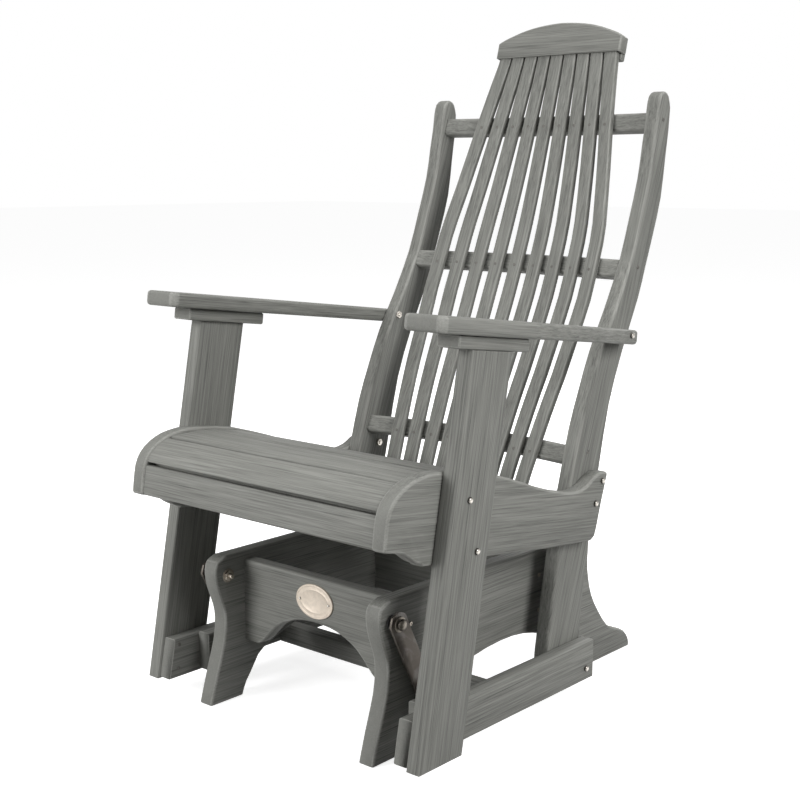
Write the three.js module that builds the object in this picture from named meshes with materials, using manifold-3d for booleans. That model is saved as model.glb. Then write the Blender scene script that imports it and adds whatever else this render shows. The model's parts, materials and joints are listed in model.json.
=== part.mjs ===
// Outdoor glider chair of grained boards: a still base, four steel links and a swinging seat frame.
// Millimetres, +Z up. The sitter looks along -Y, and +X is the sitter's left.
import * as THREE from 'three';
import { mergeVertices } from 'three/addons/utils/BufferGeometryUtils.js';
import Module from 'manifold-3d';

const wasm = await Module();
wasm.setup();

// Stock and clearances
const baseBoard = 32;
const frameBoard = 28;
const seatBoard = 20;
const slatBoard = 12;
const restGap = 0.3;
const slatGap = 0.6;
const boltGap = 0.3;
const overrun = 5;

// Base
const baseWidth = 414;
const baseLength = 757;
const baseHeight = 264;
const apronSetback = 85;
const apronBottom = 100;
const apronHeight = 150;
const rearBoardSetback = 430;
const rearBoardBottom = 115;
const rearBoardHeight = 135;
const badgeWidth = 86;
const badgeHeight = 60;
const badgeThickness = 3;
const badgeDrop = 41;

// Swing mechanism
const upperPivotSetback = 46;
const upperPivotHeight = 229;
const linkReach = 79.5;
const linkDrop = 159;
const lowerPivotSpan = 311.5;
const rearLinkReach = 59.7;
const linkWidth = 38;
const linkThickness = 5;
const linkClip = 11;
const bushLength = 12.5;
const linkToLeg = 12.5;
const bushRadius = 12;
const boltRadius = 5;
const headRadius = 9.5;
const headThickness = 6;
const nutThickness = 7;
const shoulderRadius = 13;
const openPivotPlay = 4.2;

// Seat frame
const seatSideLength = 586;
const seatSideHeight = 194.5;
const seatSideBottom = 286;
const seatOverhang = 66;
const seatInset = 3;
const seatRailHeight = 45;

// Lower rails, blocks and stretcher
const railBottom = 31;
const railHeight = 71.5;
const railFront = -16;
const railFrontLean = 14;
const railRear = 494;
const blockFront = 52;
const blockLength = 120;
const blockHeight = 70;
const blockLift = 5;
const stretcherFront = 256;
const stretcherHeight = 39;

// Arm posts, cleats and armrests
const postBottom = 28;
const postFront = -21;
const postWidth = 106;
const postLean = 0.19;
const armSlope = 0.1265;
const armRefHeight = 697.8;
const armPastUpright = 46;
const armFront = 8;
const armThickness = 26;
const armFrontWidth = 73;
const armRearWidth = 40;
const armFlare = 7.5;
const armCornerRadius = 14;
const armTaperStart = 230;
const cleatFront = 66;
const cleatLength = 178;
const cleatWidth = 44;
const cleatThickness = 21;
const cleatPastPost = 4;

// Back
const uprightHeight = 1039;
const uprightReach = 369;
const uprightFoot = 385;
const backBow = 1100;
const slatBottom = 360;
const slatReach = 314;
const slatFoot = 459;
const slatCount = 9;
const slatPitch = 45.2;
const slatWidth = 27.4;
const backRailHeight = 34;
const bottomRailHeight = 439.5;
const middleRailHeight = 759.5;
const topRailHeight = 1021;

// Crest
const crestWidth = 290;
const crestShoulder = 31;
const crestRise = 34;
const crestThickness = 26;
const crestLip = 4;
const crestHousing = 24;
const crestCheek = 4.5;
const crestHeight = 1149;
const slatTuckShare = 0.9;
const crestRailDrop = 12;
const crestRailThickness = 15;

// Outline shares, hand-chosen, of the length and height of the piece that they shape
const baseFrontShares = [
  [0.001, 0], [0.019, 0.174], [0.034, 0.3], [0.048, 0.44], [0.051, 0.57], [0.046, 0.655],
  [0.032, 0.765], [0.0245, 0.86], [0.0245, 0.925], [0.034, 0.975], [0.058, 1],
];
const baseRearShares = [
  [0.794, 1], [0.8, 0.97], [0.799, 0.86], [0.797, 0.76], [0.805, 0.63], [0.82, 0.51],
  [0.85, 0.38], [0.893, 0.24], [0.93, 0.19], [0.967, 0.147], [0.99, 0.09], [1, 0.034], [1, 0],
];
const baseArchShares = [
  [0.76, 0], [0.742, 0.114], [0.707, 0.227], [0.647, 0.333], [0.581, 0.405], [0.513, 0.447],
  [0.436, 0.4545], [0.346, 0.43], [0.264, 0.375], [0.19, 0.3], [0.156, 0.246],
  [0.133, 0.152], [0.113, 0.076], [0.102, 0],
];
const apronArchShares = [
  [0.823, 0], [0.75, 0.05], [0.674, 0.14], [0.58, 0.25], [0.503, 0.32],
  [0.4, 0.38], [0.274, 0.433], [0.14, 0.459], [0, 0.467],
];
const seatFrontShares = [
  [0, 0.478], [0.0068, 0.6375], [0.0154, 0.7506], [0.034, 0.843], [0.065, 0.915],
  [0.104, 0.967], [0.1468, 0.992], [0.186, 1],
];
const seatTopShares = [
  [0.186, 1], [0.266, 0.977], [0.358, 0.936], [0.469, 0.838], [0.56, 0.7455], [0.6485, 0.648],
  [0.713, 0.586], [0.7526, 0.553], [0.787, 0.527], [0.821, 0.507], [0.855, 0.499], [0.886, 0.51],
  [0.912, 0.536], [0.936, 0.574], [0.957, 0.6], [0.98, 0.612], [1.002, 0.608], [1.014, 0.582],
];
const seatRearShares = [[0.984, 0.33], [0.96, 0.1], [0.95, 0.03], [0.931, 0]];
const seatBottomShares = [
  [0.698, 0.072], [0.42, 0.185], [0.174, 0.265], [0.1416, 0.298], [0.114, 0.339],
  [0.0836, 0.406], [0.0563, 0.442], [0.034, 0.455],
];
const uprightFrontShares = [
  [0, 0], [0.008, 0.0616], [0.0976, 0.24], [0.1816, 0.3436], [0.2547, 0.43], [0.333, 0.4947],
  [0.42, 0.559], [0.515, 0.613], [0.572, 0.646], [0.669, 0.709], [0.745, 0.779], [0.816, 0.85],
  [0.848, 0.904], [0.873, 0.945], [0.884, 0.972], [0.902, 0.992], [0.943, 1], [0.982, 0.992],
  [1, 0.972],
];
const uprightRearShares = [
  [0.99, 0.933], [0.967, 0.884], [0.935, 0.815], [0.87, 0.75], [0.81, 0.697], [0.746, 0.641],
  [0.615, 0.554], [0.507, 0.465], [0.43, 0.356], [0.352, 0.233], [0.285, 0.0616], [0.276, 0],
];
const slatLineShares = [
  [0, 0], [0.073, 0.068], [0.21, 0.1856], [0.28, 0.2389], [0.481, 0.3998], [0.632, 0.5408],
  [0.72, 0.6374], [0.8105, 0.7488], [0.943, 0.922], [1, 1],
];
const slatPitchShares = [
  [0, 0.84], [0.037, 0.852], [0.18, 0.918], [0.2475, 0.95], [0.42, 1], [0.562, 0.982],
  [0.656, 0.912], [0.728, 0.861], [0.785, 0.816], [0.974, 0.679], [1, 0.665],
];
const bowShares = [[0, 1], [0.8, 1], [0.9, 0.62], [0.97, 0], [1, 0]];
const crestTopShares = [
  [1, 0], [0.925, 0.18], [0.805, 0.38], [0.645, 0.61], [0.49, 0.78], [0.325, 0.895],
  [0.16, 0.965], [0, 1],
];

// Worked-out places
const baseHalf = baseWidth / 2;
const baseInner = baseHalf - baseBoard;
const linkInner = baseHalf + bushLength;
const linkOuter = linkInner + linkThickness;
const legInner = linkOuter + linkToLeg;
const seatInner = legInner + frameBoard;
const seatWidth = 2 * seatInner;
const seatOuter = seatInner + frameBoard;
const postOuter = seatOuter + frameBoard;
const linkLength = Math.hypot(linkReach, linkDrop);
const linkLean = Math.atan2(linkReach, linkDrop);
const frontLower = [upperPivotSetback + linkReach, upperPivotHeight - linkDrop];
const rearLower = [frontLower[0] + lowerPivotSpan, frontLower[1]];
const rearLean = -Math.asin(rearLinkReach / linkLength);
const rearUpper = [rearLower[0] + rearLinkReach, rearLower[1] + linkLength * Math.cos(rearLean)];
const armLean = Math.atan(armSlope);
const slatLength = crestHeight + slatTuckShare * crestHousing - slatBottom;

// Finishes
const boardFinish = () => new THREE.MeshStandardMaterial({ color: 0x7d7f7c, roughness: 0.62, metalness: 0 });
const shadeFinish = () => new THREE.MeshStandardMaterial({ color: 0x6f7271, roughness: 0.62, metalness: 0 });
const steelFinish = () => new THREE.MeshStandardMaterial({ color: 0x8f8a84, roughness: 0.34, metalness: 0.9 });
const chromeFinish = () => new THREE.MeshStandardMaterial({ color: 0xc9c6c0, roughness: 0.2, metalness: 1 });
const bushFinish = () => new THREE.MeshStandardMaterial({ color: 0x3c3c3c, roughness: 0.5, metalness: 0 });
const badgeFinish = () => new THREE.MeshStandardMaterial({ color: 0xd2c6b4, roughness: 0.45, metalness: 0.2 });

// A smooth run of points through hand-set shares of a length and a height
function run(shares, length, height, origin, divisions) {
  const knots = shares.map(([u, v]) => new THREE.Vector2(origin[0] + u * length, origin[1] + v * height));
  if (divisions === 0) {
    return knots;
  }
  return new THREE.SplineCurve(knots).getPoints(divisions);
}

function roundHole(centre, radius) {
  const circle = new THREE.EllipseCurve(centre[0], centre[1], radius, radius, 0, 2 * Math.PI);
  return new THREE.Path(circle.getPoints(12).slice(0, -1).reverse());
}

function distinct(points, least) {
  return points.filter((p, i) => i === 0 || p.distanceTo(points[i - 1]) > least);
}

function extrude(points, depth, holes = []) {
  const outline = distinct(points, restGap);
  if (THREE.ShapeUtils.isClockWise(outline)) {
    outline.reverse();
  }
  const shape = new THREE.Shape(outline);
  shape.holes.push(...holes);
  return new THREE.ExtrudeGeometry(shape, { depth, bevelEnabled: false, curveSegments: 6 });
}

// Outlines drawn as (Y, Z) are turned so that their thickness runs along +X
const sideTurn = new THREE.Matrix4().makeBasis(
  new THREE.Vector3(0, 1, 0),
  new THREE.Vector3(0, 0, 1),
  new THREE.Vector3(1, 0, 0),
);

function addSidePiece(group, name, points, inner, thickness, side, finish, holes = []) {
  const mesh = new THREE.Mesh(extrude(points, thickness, holes), finish);
  mesh.name = name;
  mesh.quaternion.setFromRotationMatrix(sideTurn);
  mesh.position.x = side > 0 ? inner : -(inner + thickness);
  group.add(mesh);
  return mesh;
}

// Outlines drawn as (X, Z) stand across the chair, with their front face at the given Y
function addCrossPiece(group, name, points, front, thickness, finish) {
  const mesh = new THREE.Mesh(extrude(points, thickness), finish);
  mesh.name = name;
  mesh.rotation.x = Math.PI / 2;
  mesh.position.y = front + thickness;
  group.add(mesh);
  return mesh;
}

// A length of stock seen from the side: its front lower corner, its section and its turn
function addBar(group, name, length, corner, depth, height, turn, finish) {
  const bar = new THREE.Mesh(new THREE.BoxGeometry(length, depth, height), finish);
  bar.name = name;
  bar.position.set(0, depth / 2, height / 2);
  const holder = new THREE.Group();
  holder.position.set(0, corner[0], corner[1]);
  holder.rotation.x = turn;
  holder.add(bar);
  group.add(holder);
  return bar;
}

function rect(y0, z0, y1, z1) {
  return [[y0, z0], [y1, z0], [y1, z1], [y0, z1]].map(([y, z]) => new THREE.Vector2(y, z));
}

// The value of a curve of (position, height) points at a height
function at(points, height) {
  let k = 1;
  while (k < points.length - 1 && points[k].y < height) {
    k += 1;
  }
  const a = points[k - 1];
  const b = points[k];
  return a.x + ((b.x - a.x) * (height - a.y)) / (b.y - a.y);
}

// A turned piece whose profile of (radius, place) points closes on the axis, laid along X
function addTurned(group, name, profile, centre, side, finish) {
  const points = profile.map(([r, x]) => new THREE.Vector2(r, x));
  const mesh = new THREE.Mesh(new THREE.LatheGeometry(points, 12), finish);
  mesh.name = name;
  mesh.rotation.z = side > 0 ? -Math.PI / 2 : Math.PI / 2;
  mesh.position.set(0, centre[0], centre[1]);
  group.add(mesh);
  return mesh;
}

function solid(geometry) {
  const bare = geometry.clone();
  bare.deleteAttribute('normal');
  bare.deleteAttribute('uv');
  const merged = mergeVertices(bare);
  return new wasm.Manifold(new wasm.Mesh({
    numProp: 3,
    vertProperties: new Float32Array(merged.attributes.position.array),
    triVerts: new Uint32Array(merged.index.array),
  }));
}

function geometryOf(body) {
  const cut = body.getMesh();
  const geometry = new THREE.BufferGeometry();
  geometry.setAttribute('position', new THREE.BufferAttribute(new Float32Array(cut.vertProperties), 3));
  geometry.setIndex(new THREE.BufferAttribute(new Uint32Array(cut.triVerts), 1));
  geometry.computeVertexNormals();
  return geometry;
}

const sides = [['left', 1], ['right', -1]];

// Base: two sides, front apron, rear board and the bare badge plate
function makeBase() {
  const base = new THREE.Group();
  const holes = [[upperPivotSetback, upperPivotHeight], rearUpper];
  for (const [name, side] of sides) {
    const outline = [
      ...run(baseFrontShares, baseLength, baseHeight, [0, 0], 18),
      ...run(baseRearShares, baseLength, baseHeight, [0, 0], 22),
      ...run(baseArchShares, baseLength, baseHeight, [0, 0], 22),
    ];
    addSidePiece(base, `base_side_${name}`, outline, baseInner, baseBoard, side, boardFinish(),
      holes.map((centre) => roundHole(centre, boltRadius + boltGap)));
  }
  const arch = run(apronArchShares, baseInner, apronHeight, [0, apronBottom], 12);
  const apron = [
    new THREE.Vector2(baseInner, apronBottom),
    new THREE.Vector2(baseInner, apronBottom + apronHeight),
    new THREE.Vector2(-baseInner, apronBottom + apronHeight),
    new THREE.Vector2(-baseInner, apronBottom),
    ...arch.map((p) => new THREE.Vector2(-p.x, p.y)),
    ...arch.slice(0, -1).reverse(),
  ];
  addCrossPiece(base, 'base_front_apron', apron, apronSetback, frameBoard, boardFinish());
  addCrossPiece(base, 'base_rear_board',
    rect(-baseInner, rearBoardBottom, baseInner, rearBoardBottom + rearBoardHeight),
    rearBoardSetback, frameBoard, shadeFinish());
  const badge = new THREE.EllipseCurve(0, apronBottom + apronHeight - badgeDrop,
    badgeWidth / 2, badgeHeight / 2, 0, 2 * Math.PI).getPoints(24).slice(0, -1);
  addCrossPiece(base, 'badge_plate', badge, apronSetback - badgeThickness, badgeThickness, badgeFinish());
  return base;
}

// Upper pivots: bolt with its nut inside the base side and its head outside the link, and the bush
function addUpperPivot(group, name, centre, side) {
  const nutFace = baseInner - nutThickness;
  const headFace = linkOuter + restGap;
  addTurned(group, `upper_pivot_bolt_${name}`, [
    [0, nutFace], [headRadius, nutFace], [headRadius, baseInner], [boltRadius, baseInner],
    [boltRadius, headFace], [headRadius, headFace], [headRadius, headFace + headThickness],
    [0, headFace + headThickness],
  ], centre, side, chromeFinish());
}

function addBush(group, name, centre, side) {
  const inner = boltRadius + boltGap;
  const start = baseHalf + restGap;
  const end = linkInner - restGap;
  addTurned(group, `pivot_bush_${name}`, [
    [inner, start], [bushRadius, start], [bushRadius, end], [inner, end], [inner, start],
  ], centre, side, bushFinish());
}

// Lower pivots: shoulder bolt from its head inside the link, through the block or leg beside it
function addLowerPivot(group, name, centre, side) {
  const headFace = linkInner - restGap;
  addTurned(group, `lower_pivot_bolt_${name}`, [
    [0, headFace - headThickness], [shoulderRadius, headFace - headThickness],
    [shoulderRadius, headFace], [boltRadius, headFace], [boltRadius, linkOuter + restGap],
    [shoulderRadius, linkOuter + restGap], [shoulderRadius, legInner], [boltRadius, legInner],
    [boltRadius, seatInner], [0, seatInner],
  ], centre, side, chromeFinish());
}

// Flat steel link with clipped corners, hung from its upper pivot and turned by its lean
function addLink(group, name, pivot, lean, side, lowerHole) {
  const half = linkWidth / 2;
  const end = half;
  const top = end;
  const bottom = -linkLength - end;
  const outline = [
    [-half, bottom + linkClip], [-half + linkClip, bottom], [half - linkClip, bottom],
    [half, bottom + linkClip], [half, top - linkClip], [half - linkClip, top],
    [-half + linkClip, top], [-half, top - linkClip],
  ].map(([y, z]) => new THREE.Vector2(y, z));
  const holder = new THREE.Group();
  holder.position.set(0, pivot[0], pivot[1]);
  holder.rotation.x = lean;
  addSidePiece(holder, name, outline, linkInner, linkThickness, side, steelFinish(), [
    roundHole([0, 0], boltRadius + boltGap),
    roundHole([0, -linkLength], lowerHole),
  ]);
  group.add(holder);
}

function makeMechanism() {
  const mechanism = new THREE.Group();
  const ends = [
    ['front', [upperPivotSetback, upperPivotHeight], frontLower, linkLean, boltRadius + boltGap],
    ['rear', rearUpper, rearLower, rearLean, boltRadius + openPivotPlay],
  ];
  for (const [end, upper, lower, lean, lowerHole] of ends) {
    for (const [name, side] of sides) {
      addUpperPivot(mechanism, `${end}_${name}`, upper, side);
      addBush(mechanism, `${end}_${name}`, upper, side);
      addLink(mechanism, `link_${end}_${name}`, upper, lean, side, lowerHole);
      addLowerPivot(mechanism, `${end}_${name}`, lower, side);
    }
  }
  return mechanism;
}

// The front edge of the back uprights, which the armrests run on past
const uprightOrigin = [uprightFoot, railBottom];
const uprightFront = run(uprightFrontShares, uprightReach, uprightHeight, uprightOrigin, 36);

// Height of the underside of the armrests at a place along Y
const armUnderside = (y) => armRefHeight - armSlope * y;

// Lower rails, pivot blocks, stretcher and arm posts
function makeLowerFrame() {
  const frame = new THREE.Group();
  const railTop = railBottom + railHeight;
  const rail = [
    [railFront, railBottom],
    [railRear, railBottom],
    [railRear, railTop],
    [railFront + railFrontLean, railTop],
  ].map(([y, z]) => new THREE.Vector2(y, z));
  const cleatUnder = (y) => armUnderside(y) - (cleatThickness + 2 * restGap) / Math.cos(armLean);
  const postTopAt = (start) => {
    const rise = (cleatUnder(start) - postBottom) / (1 + armSlope * postLean);
    return new THREE.Vector2(start + rise * postLean, postBottom + rise);
  };
  const post = [
    new THREE.Vector2(postFront, postBottom),
    new THREE.Vector2(postFront + postWidth, postBottom),
    postTopAt(postFront + postWidth),
    postTopAt(postFront),
  ];
  const blockBottom = railBottom + blockLift;
  const block = rect(blockFront, blockBottom, blockFront + blockLength, blockBottom + blockHeight);
  for (const [name, side] of sides) {
    addSidePiece(frame, `lower_rail_${name}`, rail, seatInner, frameBoard, side, boardFinish());
    addSidePiece(frame, `arm_post_${name}`, post, seatOuter, frameBoard, side, boardFinish());
    addSidePiece(frame, `pivot_block_${name}`, block, legInner, frameBoard, side, shadeFinish(),
      [roundHole(frontLower, boltRadius + boltGap)]);
  }
  addBar(frame, 'lower_stretcher', seatWidth, [stretcherFront, railBottom], frameBoard, stretcherHeight, 0,
    shadeFinish());
  return frame;
}

// Armrests and the cleats that carry them, both on the arm's slope
function makeArms() {
  const arms = new THREE.Group();
  for (const [name, side] of sides) {
    const holder = new THREE.Group();
    holder.position.set(0, 0, armRefHeight);
    holder.rotation.x = -armLean;
    const cleat = new THREE.Mesh(new THREE.BoxGeometry(cleatWidth, cleatLength, cleatThickness), boardFinish());
    cleat.name = `arm_cleat_${name}`;
    const cleatStart = cleatFront / Math.cos(armLean);
    cleat.position.set(side * (postOuter + cleatPastPost - cleatWidth / 2), cleatStart + cleatLength / 2,
      -cleatThickness / 2 - restGap);
    holder.add(cleat);
    const inner = seatInner + restGap;
    const outer = inner + armFrontWidth;
    const front = armFront / Math.cos(armLean);
    const armRear = at(uprightFront, armUnderside(uprightFoot + uprightReach / 2)) + armPastUpright;
    const armLength = (armRear - armFront) / Math.cos(armLean);
    const r = armCornerRadius;
    const plan = new THREE.Shape();
    plan.moveTo(inner, front + armLength);
    plan.lineTo(inner, front + armLength - 2 * armPastUpright);
    plan.lineTo(inner - armFlare, front + r);
    plan.absarc(inner - armFlare + r, front + r, r, Math.PI, 1.5 * Math.PI, false);
    plan.lineTo(outer - r, front);
    plan.absarc(outer - r, front + r, r, 1.5 * Math.PI, 2 * Math.PI, false);
    plan.lineTo(outer, front + armTaperStart);
    plan.lineTo(inner + armRearWidth, front + armLength);
    const outline = plan.getPoints(4);
    const points = side > 0 ? outline : outline.map((p) => new THREE.Vector2(-p.x, p.y));
    const armrest = new THREE.Mesh(extrude(points, armThickness), boardFinish());
    armrest.name = `armrest_${name}`;
    holder.add(armrest);
    arms.add(holder);
  }
  return arms;
}

// Seat sides and the slats housed between them
function makeSeat() {
  const seat = new THREE.Group();
  const origin = [-seatOverhang, seatSideBottom];
  const front = run(seatFrontShares, seatSideLength, seatSideHeight, origin, 12);
  const top = run(seatTopShares, seatSideLength, seatSideHeight, origin, 24);
  const outline = [
    ...front,
    ...top.slice(1),
    ...run(seatRearShares, seatSideLength, seatSideHeight, origin, 0),
    ...run(seatBottomShares, seatSideLength, seatSideHeight, origin, 12),
  ];
  for (const [name, side] of sides) {
    addSidePiece(seat, `seat_side_${name}`, outline, seatInner, frameBoard, side, boardFinish());
  }
  const surface = [...front, ...top.slice(1)];
  const reach = [0];
  for (let k = 1; k < surface.length; k += 1) {
    reach.push(reach[k - 1] + surface[k].distanceTo(surface[k - 1]));
  }
  const pointAlong = (length) => {
    let k = 1;
    while (k < reach.length - 1 && reach[k] < length) {
      k += 1;
    }
    const share = (length - reach[k - 1]) / (reach[k] - reach[k - 1]);
    return surface[k - 1].clone().lerp(surface[k], share);
  };
  // The nose slat has a rounded upper face that keeps to the curve and a flat lower face
  const insetAlong = (length, drop) => {
    const p = pointAlong(length);
    const q = pointAlong(length + seatInset);
    const turn = Math.atan2(q.y - p.y, q.x - p.x);
    return new THREE.Vector2(p.x + drop * Math.sin(turn), p.y - drop * Math.cos(turn));
  };
  const nose = [];
  const noseSteps = 6;
  for (let k = 0; k <= noseSteps; k += 1) {
    nose.push(insetAlong(noseSlatStart + (noseSlatWidth * k) / noseSteps, seatInset));
  }
  nose.push(insetAlong(noseSlatStart + noseSlatWidth, seatInset + seatBoard));
  nose.push(new THREE.Vector2(nose[0].x + noseFlatWidth, nose[0].y));
  addSidePiece(seat, 'seat_nose_slat', nose, -seatInner, seatWidth, 1, boardFinish());
  const barCorner = (start, width) => {
    const a = pointAlong(start);
    const b = pointAlong(start + width);
    const turn = Math.atan2(b.y - a.y, b.x - a.x);
    const drop = seatBoard + seatInset;
    return { y: a.x + drop * Math.sin(turn), z: a.y - drop * Math.cos(turn), turn };
  };
  // The front rail stands behind the apron, under the flat of the nose slat
  const apron = barCorner(0, apronSlatWidth);
  const frontRailFront = apron.y + apronSlatWidth * Math.cos(apron.turn) + restGap;
  const frontRailTop = nose[0].y - restGap;
  const frontRail = rect(frontRailFront, frontRailTop - seatRailHeight, frontRailFront + frameBoard, frontRailTop);
  addSidePiece(seat, 'seat_front_rail', frontRail, -seatInner, seatWidth, 1, shadeFinish());
  for (const [name, start, width] of seatSlats) {
    const { y, z, turn } = barCorner(start, width);
    addBar(seat, name, seatWidth, [y, z], width, seatBoard, turn, boardFinish());
  }
  return seat;
}

// Seat slats in order from the apron back: where each starts along the seat's curve, and its width
const apronSlatWidth = 52;
const noseSlatStart = 58;
const noseSlatWidth = 64;
const noseFlatWidth = 30;
const firstSlatStart = 129;
const seatSlatWidth = 76;
const seatSlatPitch = 83;
const plainSlatCount = 5;
const seatSlats = [['seat_apron', 0, apronSlatWidth]];
for (let k = 0; k < plainSlatCount; k += 1) {
  seatSlats.push([`seat_slat_${k + 1}`, firstSlatStart + k * seatSlatPitch, seatSlatWidth]);
}

// Back: uprights that run down to the lower rails, three rails and the fan of curved slats
const slatLine = run(slatLineShares, slatReach, slatLength, [slatFoot, slatBottom], 60);
const crestLean = Math.atan(
  (at(slatLine, crestHeight + crestHousing) - at(slatLine, crestHeight)) / crestHousing,
);

// The back is hollow in plan: its boards come forward towards the sides, less so near the crest
const railSteps = 16;
const slatSteps = 24;
const bowCurve = bowShares.map(([v, f]) => new THREE.Vector2(f, slatBottom + v * slatLength));
const bowFactor = (height) => at(bowCurve, height);
const bowAt = (x, height) => (bowFactor(height) * x * x) / (2 * backBow);

function makeBack() {
  const back = new THREE.Group();
  const outline = [
    ...uprightFront,
    ...run(uprightRearShares, uprightReach, uprightHeight, uprightOrigin, 22),
  ];
  for (const [name, side] of sides) {
    addSidePiece(back, `back_upright_${name}`, outline, legInner, frameBoard, side, boardFinish(),
      [roundHole(rearLower, boltRadius + boltGap)]);
  }
  const rails = [
    ['back_rail_bottom', bottomRailHeight],
    ['back_rail_middle', middleRailHeight],
    ['back_rail_top', topRailHeight],
  ];
  for (const [name, height] of rails) {
    const half = backRailHeight / 2;
    const lean = Math.atan2(at(slatLine, height + half) - at(slatLine, height - half), backRailHeight);
    const rail = new THREE.BoxGeometry(2 * legInner, frameBoard, backRailHeight, railSteps);
    const place = rail.attributes.position;
    for (let i = 0; i < place.count; i += 1) {
      const behind = slatBoard + 2 * slatGap + place.getY(i) + frameBoard / 2;
      const up = place.getZ(i);
      const z = height - behind * Math.sin(lean) + up * Math.cos(lean);
      const y = at(slatLine, height) + behind * Math.cos(lean) + up * Math.sin(lean);
      place.setXYZ(i, place.getX(i), y - bowAt(place.getX(i), height), z);
    }
    const mesh = new THREE.Mesh(rail, boardFinish());
    mesh.name = name;
    back.add(mesh);
  }
  const pitchCurve = slatPitchShares.map(([v, p]) => new THREE.Vector2(p * slatPitch, v));
  const middle = (slatCount - 1) / 2;
  for (let k = 0; k < slatCount; k += 1) {
    const geometry = new THREE.BoxGeometry(slatWidth, slatBoard, 1, 1, 1, slatSteps);
    const place = geometry.attributes.position;
    for (let i = 0; i < place.count; i += 1) {
      const share = place.getZ(i) + 0.5;
      const height = slatBottom + share * slatLength;
      const step = slatLength / slatSteps;
      const slope = (at(slatLine, height + step) - at(slatLine, height - step)) / (2 * step);
      const lean = Math.atan(slope);
      const axis = (k - middle) * at(pitchCurve, share);
      const turn = Math.atan((bowFactor(height) * axis) / backBow);
      const across = place.getX(i);
      const depth = place.getY(i) + slatBoard / 2;
      const x = axis + across * Math.cos(turn) + depth * Math.cos(lean) * Math.sin(turn);
      const y = at(slatLine, height) - bowAt(axis, height)
        + depth * Math.cos(lean) * Math.cos(turn) - across * Math.sin(turn);
      place.setXYZ(i, x, y, height - depth * Math.sin(lean));
    }
    const slat = new THREE.Mesh(geometry, boardFinish());
    slat.name = `back_slat_${k + 1}`;
    back.add(slat);
  }
  return back;
}

// Crest: an arched board housed over the slats' tops, and the rail behind them
function makeCrest() {
  const crest = new THREE.Group();
  crest.position.set(0, at(slatLine, crestHeight), crestHeight);
  crest.rotation.x = -crestLean;
  const half = crestWidth / 2;
  const rise = run(crestTopShares, half, crestRise, [0, crestShoulder], 12);
  const outline = [
    new THREE.Vector2(-half, 0),
    new THREE.Vector2(half, 0),
    ...rise,
    ...rise.slice(0, -1).reverse().map((p) => new THREE.Vector2(-p.x, p.y)),
  ];
  const board = extrude(outline, crestThickness);
  board.rotateX(Math.PI / 2);
  board.translate(0, crestThickness - crestLip, 0);
  const housingWidth = crestWidth - 2 * crestCheek;
  const housing = new THREE.BoxGeometry(housingWidth, crestThickness, crestHousing + overrun);
  housing.translate(0, crestThickness / 2 - slatGap, (crestHousing - overrun) / 2);
  const cut = geometryOf(solid(board).subtract(solid(housing)));
  const front = new THREE.Mesh(cut, boardFinish());
  front.name = 'crest_board';
  crest.add(front);
  addBar(crest, 'crest_rail', housingWidth - 2 * restGap, [slatBoard + slatGap, -crestRailDrop], crestRailThickness,
    crestHousing + crestRailDrop - restGap, 0, boardFinish());
  return crest;
}

const chair = new THREE.Group();
chair.add(makeBase());
chair.add(makeMechanism());
chair.add(makeLowerFrame());
chair.add(makeArms());
chair.add(makeSeat());
chair.add(makeBack());
chair.add(makeCrest());

// The chair's own origin is on the floor, under the middle of the space that it takes up
chair.updateMatrixWorld(true);
const space = new THREE.Box3().setFromObject(chair);
chair.position.y = -(space.min.y + space.max.y) / 2;
chair.updateMatrixWorld(true);

export default chair;
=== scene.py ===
import json
import math

import bmesh
import bpy
from bpy.props import FloatProperty, FloatVectorProperty, PointerProperty
from mathutils import Matrix, Vector
from mathutils.bvhtree import BVHTree


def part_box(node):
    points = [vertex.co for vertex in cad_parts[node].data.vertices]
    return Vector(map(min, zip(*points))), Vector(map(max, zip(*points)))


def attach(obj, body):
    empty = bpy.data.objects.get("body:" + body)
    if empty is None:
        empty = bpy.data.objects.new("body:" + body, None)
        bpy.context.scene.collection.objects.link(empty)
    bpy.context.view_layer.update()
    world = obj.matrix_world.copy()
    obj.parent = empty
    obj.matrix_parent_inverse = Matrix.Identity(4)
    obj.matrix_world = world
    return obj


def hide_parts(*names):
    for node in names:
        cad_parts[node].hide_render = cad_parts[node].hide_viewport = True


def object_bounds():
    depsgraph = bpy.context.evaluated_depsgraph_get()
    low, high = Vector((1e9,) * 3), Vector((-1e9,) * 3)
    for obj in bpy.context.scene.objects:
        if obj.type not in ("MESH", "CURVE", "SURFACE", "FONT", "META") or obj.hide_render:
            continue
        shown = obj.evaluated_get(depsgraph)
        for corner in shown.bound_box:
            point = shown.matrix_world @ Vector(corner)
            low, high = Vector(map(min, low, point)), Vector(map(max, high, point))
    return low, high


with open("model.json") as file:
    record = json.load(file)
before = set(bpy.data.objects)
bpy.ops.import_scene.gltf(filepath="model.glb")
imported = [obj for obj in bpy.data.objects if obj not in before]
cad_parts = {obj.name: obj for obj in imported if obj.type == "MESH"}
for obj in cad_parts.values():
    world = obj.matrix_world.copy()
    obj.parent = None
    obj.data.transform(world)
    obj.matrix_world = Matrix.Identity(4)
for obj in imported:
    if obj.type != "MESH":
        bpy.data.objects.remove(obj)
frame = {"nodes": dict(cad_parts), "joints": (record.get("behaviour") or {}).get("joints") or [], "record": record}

bl_info = {
    "name": "Outdoor glider chair",
    "version": (1, 0, 0),
    "blender": (4, 5, 0),
    "location": "3D View > Sidebar > Glider chair",
    "description": "Builds the boards, links, bolts and screws of an outdoor glider chair on its frame",
    "category": "Add Mesh",
}

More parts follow.
